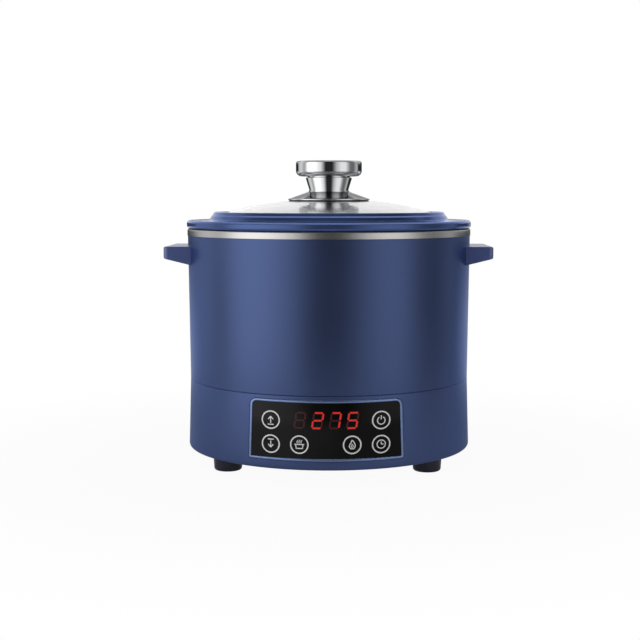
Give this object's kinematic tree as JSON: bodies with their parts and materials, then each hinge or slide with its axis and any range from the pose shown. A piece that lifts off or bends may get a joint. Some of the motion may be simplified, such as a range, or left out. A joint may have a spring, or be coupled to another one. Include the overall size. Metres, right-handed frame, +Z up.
{
  "type": "electric hot pot",
  "caption": "Round countertop electric hot pot with lug handles, touch panel, lift-out steel pot, loose glass lid with a chrome knob, and a perforated basket that a motor raises.",
  "frame": {"origin": "on the table under the centre of the round body, at the bottom of the feet", "axes": "+Z up along the body's axis, the panel faces -Y, the handles lie on -X and +X"},
  "size_m": [0.2962, 0.2608, 0.2739],
  "materials": {
    "navy_shell": "satin",
    "navy_plastic": "satin",
    "pale_frame": "gloss",
    "black_window": "high gloss",
    "black_plastic": "matte",
    "black_rubber": "semi-gloss",
    "silicone": "matte",
    "polished_steel": "mirror",
    "steel": "brushed",
    "cast_aluminium": "cast",
    "clear_glass": "clear",
    "brass": "machined",
    "nylon": "matte",
    "board": "satin",
    "display_red": "gloss",
    "winding": "varnished",
    "sleeve_film": "gloss",
    "ceramic": "matte"
  },
  "bodies": {
    "base": {"outer_shell": "navy_shell", "base_housing": "navy_plastic", "bottom_cover": "black_plastic", "feet": "black_rubber", "cover_screws": "steel", "left_handle": "navy_plastic", "right_handle": "navy_plastic", "handle_screws": "steel", "pot_well": "steel", "well_floor": "steel", "heat_shield": "steel", "heater_plate": "cast_aluminium", "heating_element": "steel", "heater_posts": "steel", "thermal_fuse": "ceramic", "sensor_spring": "steel", "panel_bezel": "pale_frame", "panel_window": "black_window", "control_board": "board", "board_screws": "steel", "display_module": "display_red", "touch_pads": "black_rubber", "power_board": "board", "transformer": "winding", "relay": "black_plastic", "capacitor": "sleeve_film", "power_inlet": "black_plastic", "inlet_pins": "brass", "drive_motor": "steel", "motor_bracket": "steel", "bracket_screws": "steel", "lower_bush": "brass", "guide_bush": "nylon"},
    "pot": {"inner_pot": "steel", "pot_chimney": "steel"},
    "lid": {"lid_ring": "navy_plastic", "lid_glass": "clear_glass", "lid_seal": "silicone", "knob_plate": "polished_steel", "knob_stem": "polished_steel", "knob_cap": "polished_steel", "knob_gasket": "black_rubber", "knob_washer": "nylon", "knob_bolt": "steel"},
    "basket": {"lift_basket": "steel", "basket_floor": "steel", "basket_feet": "steel", "basket_sleeve": "steel"},
    "lift_tube": {"lift_tube": "steel", "lift_nut": "brass", "push_tip": "nylon"},
    "screw": {"lead_screw": "steel", "screw_gear": "nylon"},
    "pinion": {"drive_pinion": "brass"},
    "sensor": {"sensor_probe": "steel"}
  },
  "joints": [
    {"name": "pot_lift", "type": "slide", "parent": "base", "child": "pot", "axis": [0, 0, 1], "range_m": [0, 0.16]},
    {"name": "lid_lift", "type": "slide", "parent": "pot", "child": "lid", "axis": [0, 0, 1], "range_m": [0, 0.12]},
    {"name": "basket_lift", "type": "slide", "parent": "pot", "child": "basket", "axis": [0, 0, 1], "range_m": [0, 0.056]},
    {"name": "tube_rise", "type": "slide", "parent": "base", "child": "lift_tube", "axis": [0, 0, 1], "range_m": [0, 0.056]},
    {"name": "screw_turn", "type": "hinge", "parent": "base", "child": "screw", "pos_m": [0, 0, 0.03], "axis": [0, 0, 1], "range_deg": [-2521, 0]},
    {"name": "pinion_turn", "type": "hinge", "parent": "base", "child": "pinion", "pos_m": [-0.02858, 0.0165, 0.03], "axis": [0, 0, 1], "range_deg": [0, 6721]},
    {"name": "sensor_press", "type": "slide", "parent": "base", "child": "sensor", "axis": [0, 0, 1], "range_m": [-0.002, 0], "stiffness_N_per_m": 300, "springref_m": 0.003, "deforming": ["sensor_spring"]}
  ],
  "couplings": [
    {"joint": "tube_rise", "follows": "basket_lift", "ratio": 1},
    {"joint": "screw_turn", "follows": "basket_lift", "rad_per_m": -785.4},
    {"joint": "pinion_turn", "follows": "basket_lift", "rad_per_m": 2094.4}
  ]
}
